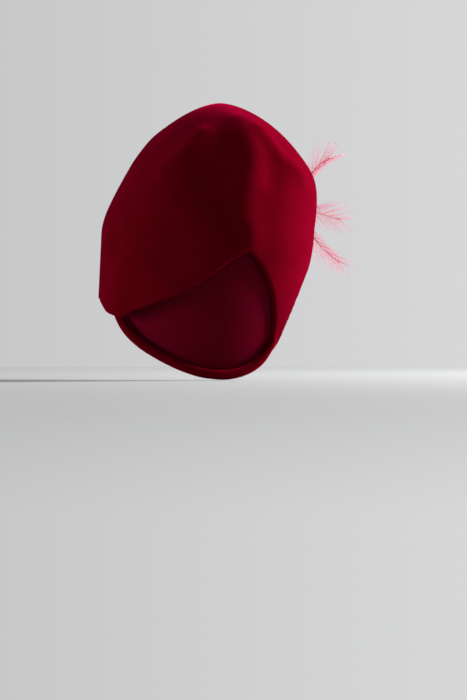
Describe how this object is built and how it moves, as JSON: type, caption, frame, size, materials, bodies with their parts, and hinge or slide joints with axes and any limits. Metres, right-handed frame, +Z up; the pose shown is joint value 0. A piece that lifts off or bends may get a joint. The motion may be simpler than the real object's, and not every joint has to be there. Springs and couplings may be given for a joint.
{
  "type": "velour felt hat",
  "caption": "Sculpted velour felt hat with a peaked crown, a wrapped flap over a matte back panel, a rolled rim and a feather spray.",
  "frame": {"origin": "middle of the head opening, on the head's upright axis", "axes": "+Z up as worn, -Y the way the wearer faces, -X the wearer's right"},
  "size_m": [0.1605, 0.1713, 0.2074],
  "materials": {
    "velour": "brushed velour felt",
    "panel": "matte felt",
    "buckram": "open stiffened weave",
    "wire": "plain",
    "thread": "twisted",
    "ribbon": "ribbed grosgrain",
    "lining": "satin",
    "label": "woven satin",
    "quill": "horn",
    "plume": "loose barbs",
    "comb": "tortoiseshell"
  },
  "bodies": {
    "hat": {"crown_felt": "velour", "rim_roll": "velour", "rim_wire": "wire", "back_panel": "panel", "panel_buckram": "buckram", "panel_stitching": "thread", "tip_tack": "thread", "corner_tack": "thread", "head_ribbon": "ribbon", "ribbon_bow": "ribbon", "ribbon_stitching": "thread", "size_tab": "label", "lining_side": "lining", "lining_tip": "lining", "maker_label": "label", "feather_pad": "velour", "feather_knot": "velour", "comb_loop_left": "thread", "comb_loop_right": "thread"},
    "feather_spray": {"quill_upper": "quill", "quill_middle": "quill", "quill_lower": "quill", "plume_upper": "plume", "plume_middle": "plume", "plume_lower": "plume"},
    "comb": {"comb": "comb"}
  },
  "joints": [
    {"name": "feather_sway", "type": "hinge", "parent": "hat", "child": "feather_spray", "pos_m": [-0.03719, -0.05319, 0.07291], "axis": [-0.4846, -0.8743, -0.0274], "range_deg": [-9, 9], "stiffness_Nm_per_rad": 0.006},
    {"name": "comb_flip", "type": "hinge", "parent": "hat", "child": "comb", "pos_m": [0.00202, -0.04685, 0.07], "axis": [-1, 0, 0], "range_deg": [0, 70]}
  ]
}
